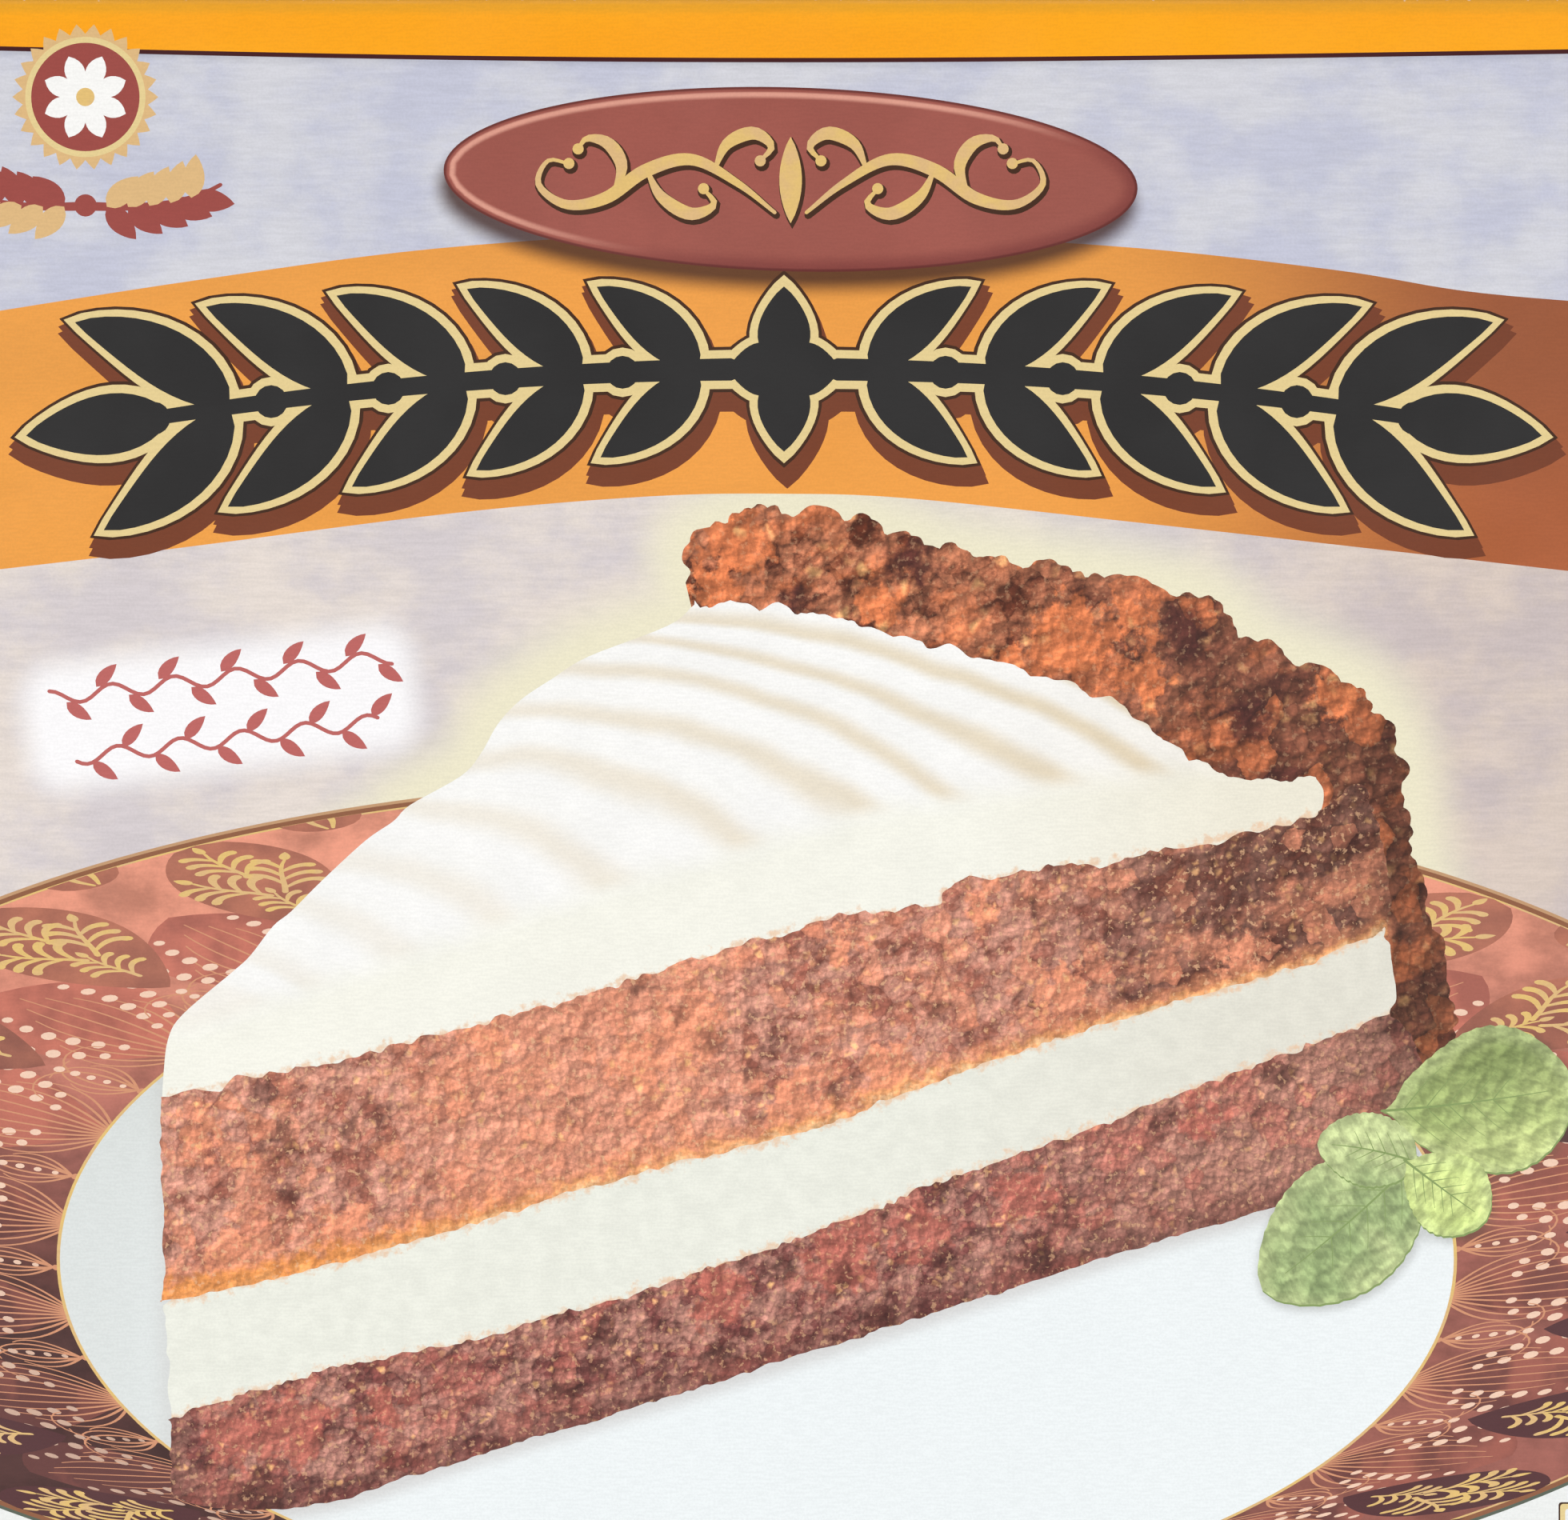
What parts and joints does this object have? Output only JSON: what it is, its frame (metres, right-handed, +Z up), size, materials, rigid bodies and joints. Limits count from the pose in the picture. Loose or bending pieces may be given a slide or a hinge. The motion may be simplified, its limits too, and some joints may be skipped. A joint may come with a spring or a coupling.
{
  "type": "frozen cake carton",
  "caption": "Shut square folding carton for a round layer cake, with a printed panel on top and lid flaps glued over a tray.",
  "frame": {"origin": "middle of the face that the carton rests on", "axes": "+Z up out of the printed main panel, +Y towards the lid's hinge fold and the top of the print, +X to the right of the print"},
  "size_m": [0.264, 0.264, 0.084],
  "materials": {
    "printed_board": "satin varnished print",
    "raw_board": "matte"
  },
  "bodies": {
    "root": {"carton": "printed_board"}
  },
  "joints": []
}
